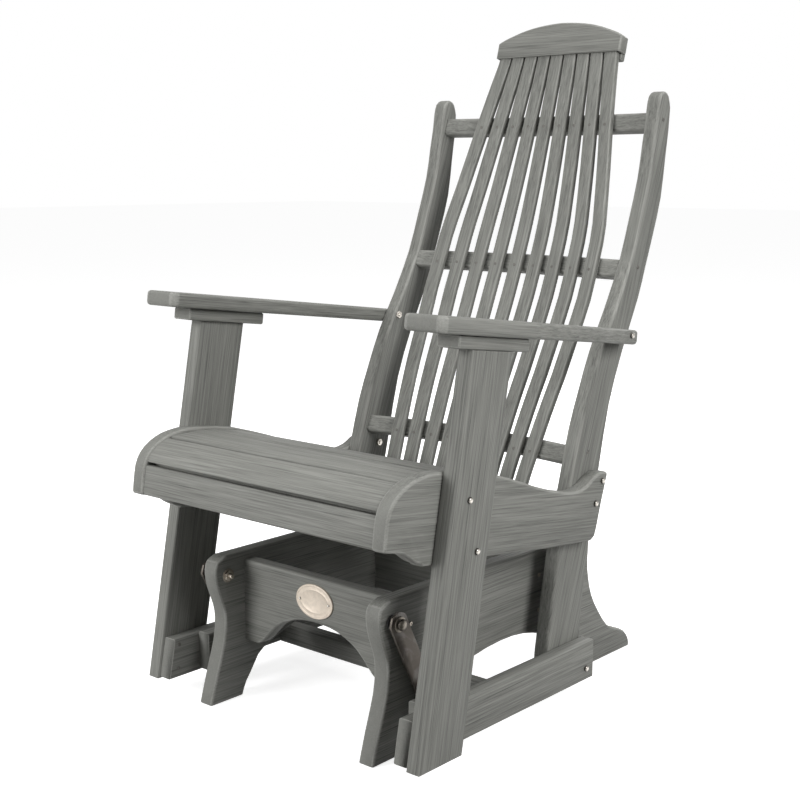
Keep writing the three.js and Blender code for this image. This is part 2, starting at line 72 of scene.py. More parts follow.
CAD_BOX = [list(corner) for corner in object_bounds()]
BODY_OF = {
    node: body
    for body, nodes in frame["record"]["behaviour"]["bodies"].items()
    for node in nodes
}
JOINTS = {joint["name"]: joint for joint in frame["joints"]}
SIDES = (("left", 1), ("right", -1))
ENDS = ("front", "rear")

# Fittings are measured in plan from the base's front feet, which stand this far before the front pivots
FEET_TO_PIVOT = 0.046
FEET_Y = JOINTS["glide"]["pos_m"][1] - FEET_TO_PIVOT

# Directions that the boards' grain runs in
ACROSS = Vector((1, 0, 0))
ALONG = Vector((0, 1, 0))
ARM_RUN = Vector((0, 1, -0.1265))
SEAT_RUN = Vector((0, 1, -0.13))
POST_RUN = Vector((0, 0.19, 1))
UPRIGHT_RUN = Vector((0, 0.35, 1))


# Settings
class BoardSettings(bpy.types.PropertyGroup):
    """Colours and edges of the boards."""

    dark: FloatVectorProperty(
        name="Dark grain", description="Colour in the open grain",
        subtype="COLOR", size=3, min=0, max=1, default=(0.050, 0.051, 0.046))
    light: FloatVectorProperty(
        name="Light grain", description="Colour of the raised grain",
        subtype="COLOR", size=3, min=0, max=1, default=(0.255, 0.257, 0.236))
    # Painted highlight: the rounded edges are drawn lighter, as where they catch the light
    edge_highlight: FloatVectorProperty(
        name="Painted edge highlight", description="Colour of the rounded edges",
        subtype="COLOR", size=3, min=0, max=1, default=(0.32, 0.321, 0.298))
    edge: FloatProperty(
        name="Board edge", description="Radius of the boards' rounded edges",
        unit="LENGTH", default=0.005, min=0.0005, max=0.01)
    slat_edge: FloatProperty(
        name="Slat edge", description="Radius of the back slats' rounded edges",
        unit="LENGTH", default=0.0032, min=0.0005, max=0.005)


class FittingSettings(bpy.types.PropertyGroup):
    """Sizes and colours of the bolts, screws, links and badge."""

    carriage_radius: FloatProperty(
        name="Carriage head", description="Radius of the domed bolt heads",
        unit="LENGTH", default=0.0054, min=0.003, max=0.015)
    carriage_height: FloatProperty(
        name="Carriage height", description="Height of the domed bolt heads",
        unit="LENGTH", default=0.0034, min=0.001, max=0.01)
    screw_radius: FloatProperty(
        name="Screw head", description="Radius of the wood screws' heads",
        unit="LENGTH", default=0.0036, min=0.002, max=0.008)
    steel: FloatVectorProperty(
        name="Link steel", description="Colour of the brushed links",
        subtype="COLOR", size=3, min=0, max=1, default=(0.095, 0.084, 0.073))
    plated: FloatVectorProperty(
        name="Plated steel", description="Colour of the bright bolts and nuts",
        subtype="COLOR", size=3, min=0, max=1, default=(0.56, 0.53, 0.48))
    tarnish: FloatVectorProperty(
        name="Tarnish", description="Colour that the plating dulls to on the pivots and the base's screws",
        subtype="COLOR", size=3, min=0, max=1, default=(0.27, 0.235, 0.19))
    coated: FloatVectorProperty(
        name="Coated screws", description="Colour of the screws that match the boards",
        subtype="COLOR", size=3, min=0, max=1, default=(0.17, 0.165, 0.15))
    badge: FloatVectorProperty(
        name="Badge", description="Colour of the bare oval badge",
        subtype="COLOR", size=3, min=0, max=1, default=(0.62, 0.54, 0.45))


class StageSettings(bpy.types.PropertyGroup):
    """The floor, the light and the camera."""

    floor: FloatVectorProperty(
        name="Floor", description="Colour of the floor",
        subtype="COLOR", size=3, min=0, max=1, default=(0.86, 0.86, 0.86))
    bounce: FloatVectorProperty(
        name="Floor bounce", description="Colour that the floor sends back up into the chair",
        subtype="COLOR", size=3, min=0, max=1, default=(0.15, 0.15, 0.15))
    azimuth: FloatProperty(
        name="Azimuth", description="How far round the camera stands from the front",
        subtype="ANGLE", default=math.radians(41.123))
    elevation: FloatProperty(
        name="Elevation", description="How far the camera looks down",
        subtype="ANGLE", default=math.radians(9.487))
    lens: FloatProperty(
        name="Lens", description="Focal length of the camera",
        unit="CAMERA", default=61.39, min=10, max=200)


# Selection and meshes
def clear_selection():
    if bpy.context.object and bpy.context.object.mode != "OBJECT":
        bpy.ops.object.mode_set(mode="OBJECT")
    bpy.ops.object.select_all(action="DESELECT")


def make_active(piece):
    clear_selection()
    piece.select_set(True)
    bpy.context.view_layer.objects.active = piece


def edit(piece, select="SELECT"):
    make_active(piece)
    bpy.ops.object.mode_set(mode="EDIT")
    bpy.ops.mesh.select_all(action=select)


def leave_edit():
    bpy.ops.object.mode_set(mode="OBJECT")


def named(piece, name):
    piece.name = name
    piece.data.name = name
    return piece


def added(name):
    """The primitive that has just been added, named."""
    return named(bpy.context.object, name)


def select_where(piece, kind, wanted):
    """Selects the faces or the edges of the piece in edit mode that the test wants."""
    bpy.ops.mesh.select_mode(type=kind)
    mesh = bmesh.from_edit_mesh(piece.data)
    for element in mesh.faces if kind == "FACE" else mesh.edges:
        element.select_set(wanted(element))
    mesh.select_flush_mode()
    bmesh.update_edit_mesh(piece.data)


def select_faces(piece, wanted):
    select_where(piece, "FACE", wanted)


def select_edges(piece, wanted):
    select_where(piece, "EDGE", wanted)


def apply_modifiers(piece):
    make_active(piece)
    for modifier in list(piece.modifiers):
        bpy.ops.object.modifier_apply(modifier=modifier.name)


def smooth(piece, degrees):
    """Shades the piece smooth where its faces bend by less than the angle."""
    make_active(piece)
    bpy.ops.object.shade_smooth_by_angle(angle=math.radians(degrees))


def settle(piece):
    """Puts the piece's place into its mesh, so that its object sits at the origin."""
    make_active(piece)
    bpy.ops.object.transform_apply(location=True, rotation=True, scale=True)


def joined(parts, name):
    """The parts made one piece."""
    clear_selection()
    for part in parts:
        part.select_set(True)
    bpy.context.view_layer.objects.active = parts[0]
    if len(parts) > 1:
        bpy.ops.object.join()
    return named(parts[0], name)


def placed(model, place):
    """The model, moved to its place, a matrix."""
    model.data.transform(place)
    return model


def copies(model, name, places):
    """One piece made of a copy of the model at each place; the model is then removed."""
    made = []
    for place in places:
        part = model.copy()
        part.data = model.data.copy()
        bpy.context.scene.collection.objects.link(part)
        made.append(placed(part, place))
    piece = joined(made, name)
    bpy.data.objects.remove(model)
    return piece


# Places
def facing(point, direction, turn=0.0):
    """The place of a fitting whose own +Z looks out along the direction, turned about it."""
    aim = Vector(direction).normalized().to_track_quat("Z", "Y").to_matrix().to_4x4()
    return Matrix.Translation(Vector(point)) @ aim @ Matrix.Rotation(turn, 4, "Z")


def on_axis(centre, sign, reach, inwards=False):
    """The place on a pivot's axis this far from the chair's middle, looking outwards or inwards."""
    return facing((sign * reach, centre.y, centre.z), (-sign if inwards else sign, 0, 0))


def fitting_point(x, y, z):
    """A point across the chair, behind the base's front feet and above the floor."""
    return Vector((x, FEET_Y + y, z))


def node_middle(node):
    low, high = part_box(node)
    return (low + high) / 2


def outer_face(node):
    """How far the node's outer side stands from the chair's middle."""
    low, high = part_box(node)
    return max(abs(low.x), abs(high.x))


def inner_face(node):
    """How far the node's inner side stands from the chair's middle."""
    low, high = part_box(node)
    return min(abs(low.x), abs(high.x))


# Finishes
BLACK = (0, 0, 0)
WHITE = (1, 1, 1)

# Nearly all of a noise lies between these
NOISE_LOW = 0.3
NOISE_HIGH = 0.7

# Scales of the parts of the boards' grain, along the board and across it both ways
FIGURE_SCALE = (2.6, 105, 105)
STREAK_SCALE = (7, 420, 420)
HAIR_SCALE = (14, 1100, 1100)
TONE_SCALE = (0.7, 4.5, 4.5)

# A cut end shows this much less grain, on a plain tone this far from dark to light
END_CALM = 0.72
END_TONE = 0.68

# Painted shade darkens a domed head towards its rim, and washers carry an even grime: the darkening starts at
# the first share of the head's radius, and from the second on it covers the third share of the metal
SHADE_AND_GRIME_FROM = 0.45
SHADE_AND_GRIME_WHOLE = 0.95
SHADE_AND_GRIME_COVER = 0.92
# The share of a head's radius whose painted shade is as dark as a whole washer's grime
WASHER_GRIME = 0.6


def new_finish(name):
    finish = bpy.data.materials.new(name)
    finish.use_nodes = True
    tree = finish.node_tree
    return finish, tree, tree.nodes["Principled BSDF"]


def stored(tree, name, output):
    """What the mesh stores under the name: a Vector, or a number as Fac."""
    node = tree.nodes.new("ShaderNodeAttribute")
    node.attribute_name = name
    return node.outputs[output]


def object_place(tree):
    return tree.nodes.new("ShaderNodeTexCoord").outputs["Object"]


def texture_noise(tree, coordinates, scale, detail, roughness=0.55, distortion=0.0):
    """Noise from 0 to 1, with a scale for each direction."""
    mapping = tree.nodes.new("ShaderNodeMapping")
    mapping.inputs["Scale"].default_value = scale
    noise = tree.nodes.new("ShaderNodeTexNoise")
    noise.inputs["Scale"].default_value = 1.0
    noise.inputs["Detail"].default_value = detail
    noise.inputs["Roughness"].default_value = roughness
    noise.inputs["Distortion"].default_value = distortion
    tree.links.new(coordinates, mapping.inputs["Vector"])
    tree.links.new(mapping.outputs["Vector"], noise.inputs["Vector"])
    return noise.outputs["Fac"]


def calculate(tree, operation, first, second):
    node = tree.nodes.new("ShaderNodeMath")
    node.operation = operation
    for socket, value in zip(node.inputs, (first, second)):
        if isinstance(value, (int, float)):
            socket.default_value = value
        else:
            tree.links.new(value, socket)
    return node.outputs["Value"]


def blended(tree, first, first_share, second, second_share):
    """Two values added, each times its share."""
    return calculate(tree, "ADD", calculate(tree, "MULTIPLY", first, first_share),
                     calculate(tree, "MULTIPLY", second, second_share))


def spread(tree, value, to_low, to_high, low=NOISE_LOW, high=NOISE_HIGH):
    """The value between low and high, spread to a new range."""
    node = tree.nodes.new("ShaderNodeMapRange")
    node.inputs["From Min"].default_value = low
    node.inputs["From Max"].default_value = high
    node.inputs["To Min"].default_value = to_low
    node.inputs["To Max"].default_value = to_high
    tree.links.new(value, node.inputs["Value"])
    return node.outputs["Result"]


def ramp(tree, value, stops):
    """A colour for each value, from stops of a value and a colour."""
    node = tree.nodes.new("ShaderNodeValToRGB")
    elements = node.color_ramp.elements
    while len(elements) < len(stops):
        elements.new(0.5)
    for element, (place, colour) in zip(elements, stops):
        element.position = place
        element.color = (*colour, 1)
    tree.links.new(value, node.inputs["Fac"])
    return node.outputs["Color"]


def mix(tree, share, first, second):
    """Two colours, mixed by a share."""
    node = tree.nodes.new("ShaderNodeMix")
    node.data_type = "RGBA"
    for socket, value in ((node.inputs[0], share), (node.inputs[6], first), (node.inputs[7], second)):
        if isinstance(value, tuple):
            socket.default_value = (*value, 1)
        else:
            tree.links.new(value, socket)
    return node.outputs[2]


def bump(tree, height, strength, distance):
    node = tree.nodes.new("ShaderNodeBump")
    node.inputs["Strength"].default_value = strength
    node.inputs["Distance"].default_value = distance
    tree.links.new(height, node.inputs["Height"])
    return node.outputs["Normal"]


def between(first, second, share):
    """The colour this share of the way from the first to the second."""
    return tuple(a + (b - a) * share for a, b in zip(first, second))


def darker(colour, share):
    return between(colour, BLACK, share)


def dress(tree, shader, colour, roughness, relief, metallic=0.0):
    """Links a finish's colour, roughness and relief to its shader, and sets how metallic it is."""
    tree.links.new(colour, shader.inputs["Base Color"])
    tree.links.new(roughness, shader.inputs["Roughness"])
    tree.links.new(relief, shader.inputs["Normal"])
    shader.inputs["Metallic"].default_value = metallic


def board_finish():
    """Weathered grey boards with a brushed grain that follows each board's length."""
    finish, tree, shader = new_finish("weathered_boards")
    look = bpy.context.scene.glider_boards
    dark, light, edge_highlight = tuple(look.dark), tuple(look.light), tuple(look.edge_highlight)
    where = stored(tree, "grain", "Vector")
    figure = texture_noise(tree, where, FIGURE_SCALE, detail=4, distortion=0.8)
    streaks = texture_noise(tree, where, STREAK_SCALE, detail=4, roughness=0.62, distortion=0.3)
    hairs = texture_noise(tree, where, HAIR_SCALE, detail=2, roughness=0.6)
    tone = texture_noise(tree, where, TONE_SCALE, detail=2)
    broad = blended(tree, figure, 0.20, tone, 0.12)
    fine = blended(tree, streaks, 0.44, hairs, 0.24)
    total = calculate(tree, "ADD", broad, fine)
    colour = ramp(tree, total, [
        (0.34, dark),
        (0.43, between(dark, light, 0.42)),
        (0.50, between(dark, light, 0.66)),
        (0.62, light),
    ])
    plain = calculate(tree, "MULTIPLY", stored(tree, "cut_end", "Fac"), END_CALM)
    calm = mix(tree, plain, colour, between(dark, light, END_TONE))
    # Painted highlight: the rounded edges are mixed towards a lighter colour, broken up by the streaks
    highlight_share = calculate(tree, "MULTIPLY", stored(tree, "edge_highlight", "Fac"), spread(tree, streaks, 0.35, 0.8))
    relief = bump(tree, blended(tree, streaks, 0.65, hairs, 0.35), 0.5, 0.001)
    dress(tree, shader, mix(tree, highlight_share, calm, edge_highlight), spread(tree, total, 0.78, 0.56), relief)
    shader.inputs["Specular IOR Level"].default_value = 0.35
    return finish


def link_finish():
    """Flat steel bar, brushed along its length, with a few dull patches."""
    finish, tree, shader = new_finish("brushed_link_steel")
    steel = tuple(bpy.context.scene.glider_fittings.steel)
    where = stored(tree, "grain", "Vector")
    brushed = texture_noise(tree, where, (12, 1400, 1400), detail=3)
    patches = texture_noise(tree, where, (18, 24, 24), detail=4, roughness=0.6, distortion=0.5)
    colour = ramp(tree, patches, [
        (0.3, darker(steel, 0.35)),
        (0.55, steel),
        (0.8, between(steel, WHITE, 0.2)),
    ])
    roughness = spread(tree, blended(tree, brushed, 0.5, patches, 0.5), 0.34, 0.58)
    dress(tree, shader, colour, roughness, bump(tree, brushed, 0.25, 0.0003), metallic=0.95)
    return finish


def plated_finish(name="bright_plated_steel", dulled=0.0, smoothest=0.16, roughest=0.3):
    """Plated steel with faint handling marks, grime on washers, and painted shade darkening domed heads towards
    their rims.
    """
    finish, tree, shader = new_finish(name)
    look = bpy.context.scene.glider_fittings
    plated = between(look.plated, look.tarnish, dulled)
    marks = texture_noise(tree, object_place(tree), (260, 260, 260), detail=4, roughness=0.6, distortion=0.4)
    clean = ramp(tree, marks, [(0.3, darker(plated, 0.25)), (0.6, plated)])
    # Painted shade: the domed heads darken towards their rims, and the washers take an even grime
    rim_shade_and_grime = spread(tree, stored(tree, "rim", "Fac"), 0.0, SHADE_AND_GRIME_COVER, low=SHADE_AND_GRIME_FROM, high=SHADE_AND_GRIME_WHOLE)
    colour = mix(tree, rim_shade_and_grime, clean, darker(plated, 0.93))
    dress(tree, shader, colour, spread(tree, marks, smoothest, roughest), bump(tree, marks, 0.12, 0.0002),
          metallic=1.0)
    return finish


def tarnished_finish():
    """The same plating gone dull and brown, on the pivots and on the base's screws."""
    return plated_finish("tarnished_plated_steel", dulled=0.75, smoothest=0.34, roughest=0.5)


def coated_finish():
    """Dull coated screws, matched to the boards."""
    finish, tree, shader = new_finish("coated_screws")
    coated = tuple(bpy.context.scene.glider_fittings.coated)
    marks = texture_noise(tree, object_place(tree), (420, 420, 420), detail=4, roughness=0.6, distortion=0.4)
    colour = ramp(tree, marks, [(0.3, darker(coated, 0.4)), (0.65, coated)])
    dress(tree, shader, colour, spread(tree, marks, 0.42, 0.62), bump(tree, marks, 0.15, 0.0002),
          metallic=0.6)
    return finish


def bush_finish():
    """Black moulded bushes with a faint turned texture."""
    finish, tree, shader = new_finish("black_bush")
    moulded = texture_noise(tree, object_place(tree), (600, 200, 200), detail=3)
    colour = ramp(tree, moulded, [(0.3, (0.012, 0.012, 0.012)), (0.7, (0.04, 0.04, 0.04))])
    dress(tree, shader, colour, spread(tree, moulded, 0.4, 0.6), bump(tree, moulded, 0.2, 0.0003))
    return finish


def badge_finish():
    """A bare satin plate with faint mottling."""
    finish, tree, shader = new_finish("bare_badge_plate")
    badge = tuple(bpy.context.scene.glider_fittings.badge)
    mottle = texture_noise(tree, object_place(tree), (90, 90, 90), detail=5, roughness=0.65, distortion=0.6)
    colour = ramp(tree, mottle, [(0.3, darker(badge, 0.22)), (0.62, badge)])
    dress(tree, shader, colour, spread(tree, mottle, 0.34, 0.52), bump(tree, mottle, 0.18, 0.0003),
          metallic=0.35)
    return finish


FINISH_MAKERS = {
    "board": board_finish,
    "link_steel": link_finish,
    "bolt_steel": plated_finish,
    "tarnished": tarnished_finish,
    "coated": coated_finish,
    "bush": bush_finish,
    "badge": badge_finish,
}
FINISHES = {}


def give_finish(piece, slot, look=None):
    """The finish of a slot, or another look for the same slot."""
    look = look or slot
    if look not in FINISHES:
        FINISHES[look] = FINISH_MAKERS[look]()
    piece.data.materials.clear()
    piece.data.materials.append(FINISHES[look])


# Boards

# How far each board's grain is shifted from the last one's
GRAIN_STEP = Vector((0.37, 1.93, 2.71))
# A point is on a rounded edge, and takes the painted edge highlight, when none of its faces is larger than this,
# in square metres
FLAT_AREA = 1e-4
# A face starts to be a cut end at this share of facing along its board, and is one at the second
CUT_FROM = 0.273
CUT_WHOLE = 0.727

# Points closer than this are one, and faces that bend by less than this are one
SAME_POINT = 1e-5
SAME_FACE = math.radians(0.4)
# How far a point may lie off a plane or off a board's end and still be on it
FLAT = 1e-4
END_REACH = 2e-4
# Edges that bend by more than this are rounded
SHARP = math.radians(28)
# The edges of a bolt's hole lie within this of its axis
HOLE_REACH = 0.0115

# An edge starts to take the end's radius at this share of facing along its board, and has it at the second
END_FROM = 0.2
END_WHOLE = 0.95
# A narrow face has its edges rounded by no more than this share of its width
NARROW_SHARE = 0.3
# A face looks down when its normal is lower than this
DOWN = -0.8
# Shares of the radius that are left on sawn ends, under the crest and where the feet meet the floor
SAWN_SHARE = 0.3
LIP_SHARE = 0.8
FLOOR_SHARE = 0.6

# Radii of some boards' edges, as shares of the boards' usual radius, and the links' own
CLEAT_SHARE = 0.7
ARM_SHARE = 1.3
SEAT_SLAT_SHARE = 0.95
BACK_RAIL_SHARE = 1.25
CREST_SHARE = 0.84
LINK_EDGE = 0.0008


def share_between(value, low, high):
    """How far the value is from low to high, from 0 to 1."""
    return min(1.0, max(0.0, (value - low) / (high - low)))


def lay_grain(piece, run, number):
    """Stores where each point lies along and across its board, which points take the painted edge highlight, and
    what is a cut end.
    """
    mesh = piece.data
    along = run.normalized()
    across = along.orthogonal().normalized()
    through = along.cross(across)
    grain = mesh.attributes.new("grain", "FLOAT_VECTOR", "POINT")
    shift = GRAIN_STEP * number
    for vertex in mesh.vertices:
        own = Vector((along.dot(vertex.co), across.dot(vertex.co), through.dot(vertex.co)))
        grain.data[vertex.index].vector = own + shift
    largest = [0.0] * len(mesh.vertices)
    for polygon in mesh.polygons:
        for index in polygon.vertices:
            largest[index] = max(largest[index], polygon.area)
    # Painted highlight mask: 1 on the small faces of the rounded edges
    edge_highlight = mesh.attributes.new("edge_highlight", "FLOAT", "POINT")
    for index, area in enumerate(largest):
        edge_highlight.data[index].value = 0.0 if area > FLAT_AREA else 1.0
    cut_end = mesh.attributes.new("cut_end", "FLOAT", "CORNER")
    for polygon in mesh.polygons:
        cut = share_between(abs(polygon.normal.dot(along)), CUT_FROM, CUT_WHOLE)
        for index in polygon.loop_indices:
            cut_end.data[index].value = cut


def merged_copy(node, along, holes):
    """A copy of a CAD board with whole faces, split across the board only at its holes' middles."""
    piece = bpy.data.objects.new(node + "_rounded", frame["nodes"][node].data.copy())
    bpy.context.scene.collection.objects.link(piece)
    edit(piece)
    bpy.ops.mesh.customdata_custom_splitnormals_clear()
    bpy.ops.mesh.remove_doubles(threshold=SAME_POINT)
    for hole in holes:
        bpy.ops.mesh.select_all(action="SELECT")
        bpy.ops.mesh.bisect(plane_co=hole, plane_no=along)
        bpy.ops.mesh.mark_seam()
    bpy.ops.mesh.select_all(action="SELECT")
    bpy.ops.mesh.dissolve_limited(angle_limit=SAME_FACE, delimit={"SEAM"})
    leave_edit()
    return piece


def outside(face, shape):
    """Whether the face is on the outside of the whole shape, and not in a housing."""
    return all((vertex.co - face.verts[0].co).dot(face.normal) < FLAT for vertex in shape.verts)


def on_an_end(edge, along, ends):
    """Whether the whole edge lies at one of the board's two ends."""
    first, second = (along.dot(vertex.co) for vertex in edge.verts)
    return any(abs(first - end) < END_REACH and abs(second - end) < END_REACH for end in ends)


def round_a_hole(edge, holes):
    """Whether the edge belongs to one of the bolts' holes, which run across the chair."""
    return any(all((vertex.co - hole).yz.length < HOLE_REACH for vertex in edge.verts) for hole in holes)


def edge_radius(edge, along, radius, end_radius, housing):
    """How far an edge is rounded: the side's or the end's radius, less where there is little room."""
    facing_end = max(abs(face.normal.dot(along)) for face in edge.link_faces)
    wanted = radius + (end_radius - radius) * share_between(facing_end, END_FROM, END_WHOLE)
    narrower = min(face.calc_area() for face in edge.link_faces) / edge.calc_length()
    rounded = min(wanted, NARROW_SHARE * narrower)
    if housing and any(face.normal.z < DOWN for face in edge.link_faces):
        rounded *= LIP_SHARE
    if any(all(vertex.co.z < FLAT for vertex in face.verts) for face in edge.link_faces):
        rounded *= FLOOR_SHARE
    return rounded


def softened(node, radius, run, number, butted=False, end_radius=None, bolts=(), housing=False,
             slot="board", segments=4):
    """Makes the piece of a CAD board or link, with its edges rounded over and its grain laid.

    The ends can have a radius of their own, and stay square where they are butted. The bolts' holes
    and the inside of a housing stay square as well. The number shifts the grain from other boards'.
    """
    along = run.normalized()
    holes = [node_middle(bolt) for bolt in bolts]
    piece = merged_copy(node, along, holes)
    mesh = piece.data
    reaches = [along.dot(vertex.co) for vertex in mesh.vertices]
    ends = (min(reaches), max(reaches))
    end_radius = end_radius or radius
    width = max(radius, end_radius)
    weights = mesh.attributes.new("bevel_weight_edge", "FLOAT", "EDGE")
    shape = bmesh.new()
    shape.from_mesh(mesh)
    for edge in shape.edges:
        sharp = edge.is_manifold and edge.calc_face_angle(0) > SHARP
        kept = round_a_hole(edge, holes) or (butted and on_an_end(edge, along, ends))
        in_housing = housing and not all(outside(face, shape) for face in edge.link_faces)
        if sharp and not kept and not in_housing:
            weights.data[edge.index].value = edge_radius(edge, along, radius, end_radius, housing) / width
    shape.free()
    rounding = piece.modifiers.new("rounded edges", "BEVEL")
    rounding.width = width
    rounding.segments = segments
    rounding.limit_method = "WEIGHT"
    rounding.use_clamp_overlap = False
    rounding.harden_normals = True
    apply_modifiers(piece)
    smooth(piece, degrees=35)
    lay_grain(piece, run, number)
    give_finish(piece, slot)
    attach(piece, BODY_OF[node])
    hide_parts(node)


class GLIDER_OT_base(bpy.types.Operator):
    """Rounds the still base's sides, front apron and rear board"""

    bl_idname = "glider.base"
    bl_label = "Base"

    def execute(self, context):
        edge = context.scene.glider_boards.edge
        for number, (side, _) in enumerate(SIDES):
            bolts = [f"upper_pivot_bolt_{end}_{side}" for end in ENDS]
            softened(f"base_side_{side}", edge, ALONG, 1 + number, bolts=bolts)
        softened("base_front_apron", edge, ACROSS, 3, butted=True)
        softened("base_rear_board", edge, ACROSS, 4, butted=True)
        return {"FINISHED"}


class GLIDER_OT_lower_frame(bpy.types.Operator):
    """Rounds the lower rails, the stretcher and the pivot blocks"""

    bl_idname = "glider.lower_frame"
    bl_label = "Lower frame"

    def execute(self, context):
        edge = context.scene.glider_boards.edge
        for number, (side, _) in enumerate(SIDES):
            softened(f"lower_rail_{side}", edge, ALONG, 5 + number, end_radius=edge * SAWN_SHARE)
            softened(f"pivot_block_{side}", edge, ALONG, 7 + number, end_radius=edge * SAWN_SHARE,
                     bolts=[f"lower_pivot_bolt_front_{side}"])
        softened("lower_stretcher", edge, ACROSS, 9, butted=True)
        return {"FINISHED"}


class GLIDER_OT_arms(bpy.types.Operator):
    """Rounds the arm posts, their cleats and the armrests"""

    bl_idname = "glider.arms"
    bl_label = "Arms"

    def execute(self, context):
        edge = context.scene.glider_boards.edge
        for number, (side, _) in enumerate(SIDES):
            softened(f"arm_post_{side}", edge, POST_RUN, 10 + number, end_radius=edge * SAWN_SHARE)
            softened(f"arm_cleat_{side}", edge * CLEAT_SHARE, ARM_RUN, 12 + number)
            softened(f"armrest_{side}", edge * ARM_SHARE, ARM_RUN, 14 + number)
        return {"FINISHED"}


class GLIDER_OT_seat(bpy.types.Operator):
    """Rounds the seat's sides, apron, front rail and slats"""

    bl_idname = "glider.seat"
    bl_label = "Seat"

    def execute(self, context):
        edge = context.scene.glider_boards.edge
        for number, (side, _) in enumerate(SIDES):
            softened(f"seat_side_{side}", edge, SEAT_RUN, 16 + number)
        boards = sorted(node for node in frame["nodes"] if node.startswith("seat_") and "side" not in node)
        for number, node in enumerate(boards):
            softened(node, edge * SEAT_SLAT_SHARE, ACROSS, 18 + number, butted=True)
        return {"FINISHED"}


def back_slats():
    return sorted(node for node in frame["nodes"] if node.startswith("back_slat_"))


def slat_run(node):
    """The direction from the middle of a back slat's foot to the middle of its top."""
    points = [vertex.co for vertex in frame["nodes"][node].data.vertices]
    low = min(point.z for point in points)
    high = max(point.z for point in points)
    reach = 0.02
    foot = [point for point in points if point.z < low + reach]
    top = [point for point in points if point.z > high - reach]
    return sum(top, Vector()) / len(top) - sum(foot, Vector()) / len(foot)


class GLIDER_OT_back(bpy.types.Operator):
    """Rounds the back's uprights, rails, curved slats and crest"""

    bl_idname = "glider.back"
    bl_label = "Back"

    def execute(self, context):
        look = context.scene.glider_boards
        for number, (side, _) in enumerate(SIDES):
            softened(f"back_upright_{side}", look.edge, UPRIGHT_RUN, 26 + number,
                     bolts=[f"lower_pivot_bolt_rear_{side}"])
        for number, place in enumerate(("bottom", "middle", "top")):
            softened(f"back_rail_{place}", look.edge * BACK_RAIL_SHARE, ACROSS, 28 + number, butted=True,
                     segments=5)
        for number, node in enumerate(back_slats()):
            softened(node, look.slat_edge, slat_run(node), 31 + number)
        softened("crest_board", look.edge * CREST_SHARE, ACROSS, 41, housing=True)
        softened("crest_rail", look.slat_edge, ACROSS, 42)
        return {"FINISHED"}


class GLIDER_OT_links(bpy.types.Operator):
    """Rounds the swing links' edges and gives them their brushed steel"""

    bl_idname = "glider.links"
    bl_label = "Links"

    def execute(self, context):
        places = [(end, side) for end in ENDS for side, _ in SIDES]
        for number, (end, side) in enumerate(places):
            node = f"link_{end}_{side}"
            points = [vertex.co for vertex in frame["nodes"][node].data.vertices]
            top = max(points, key=lambda point: point.z)
            foot = min(points, key=lambda point: point.z)
            bolts = [f"{height}_pivot_bolt_{end}_{side}" for height in ("upper", "lower")]
            softened(node, LINK_EDGE, top - foot, 50 + number, bolts=bolts, slot="link_steel", segments=2)
        return {"FINISHED"}


# Models of the fittings

# A face of an upright model is level when its normal is steeper than this
LEVEL = 0.99
# Points above this share of a model's height are at its top
NEAR_TOP = 0.9
# Edges that bend by more than this, in radians, are a model's corners
CORNER = 1.0
# The radius of a washer's hole
WASHER_HOLE = 0.0053
# How deep the rim under a domed head is, as a share of its radius
RIM_SHARE = 0.16


def standing_rod(name, radius, height, sides):
    """A rod that stands on the origin, in edit mode with nothing selected."""
    clear_selection()
    bpy.ops.mesh.primitive_cylinder_add(vertices=sides, radius=radius, depth=height,
                                        location=(0, 0, height / 2))
    rod = added(name)
    settle(rod)
    edit(rod, "DESELECT")
    return rod


def select_top_edges(model, height):
    select_edges(model, lambda edge: all(vertex.co.z > height * NEAR_TOP for vertex in edge.verts))


def shade_and_soil(model, share_at):
    """Stores the share of the way to a head's rim that sets each point's painted shade on a head, and its grime on
    a washer.
    """
    rim = model.data.attributes.new("rim", "FLOAT", "POINT")
    for vertex in model.data.vertices:
        rim.data[vertex.index].value = share_at(vertex)


def dome_head(radius, height):
    """A carriage bolt's low domed head on a thin rim."""
    rim = radius * RIM_SHARE
    clear_selection()
    bpy.ops.mesh.primitive_uv_sphere_add(segments=28, ring_count=14, radius=radius)
    head = added("dome")
    edit(head)
    bpy.ops.mesh.bisect(plane_co=(0, 0, 0), plane_no=(0, 0, 1), use_fill=True, clear_inner=True)
    bpy.ops.mesh.select_all(action="SELECT")
    bpy.ops.transform.resize(value=(1, 1, height / radius))
    select_faces(head, lambda face: face.normal.z < -LEVEL)
    bpy.ops.mesh.extrude_region_move(TRANSFORM_OT_translate={"value": (0, 0, -rim)})
    leave_edit()
    # Painted shade, darker towards the head's rim
    shade_and_soil(head, lambda vertex: vertex.co.xy.length / radius)
    head.data.transform(Matrix.Translation((0, 0, rim)))
    smooth(head, degrees=40)
    return head


def washer(radius, thickness):
    """A flat washer with eased outer edges."""
    ease = thickness * 0.3

    def on_rim(edge):
        return (all(abs(vertex.co.xy.length - radius) < SAME_POINT for vertex in edge.verts)
                and edge.calc_face_angle(0) > CORNER)

    ring = standing_rod("washer", radius, thickness, sides=32)
    select_faces(ring, lambda face: abs(face.normal.z) > LEVEL)
    bpy.ops.mesh.inset(thickness=radius - WASHER_HOLE, use_individual=True)
    bpy.ops.mesh.bridge_edge_loops()
    select_edges(ring, on_rim)
    bpy.ops.mesh.bevel(offset=ease, segments=2)
    leave_edit()
    shade_and_soil(ring, lambda vertex: WASHER_GRIME)
    smooth(ring, degrees=35)
    return ring


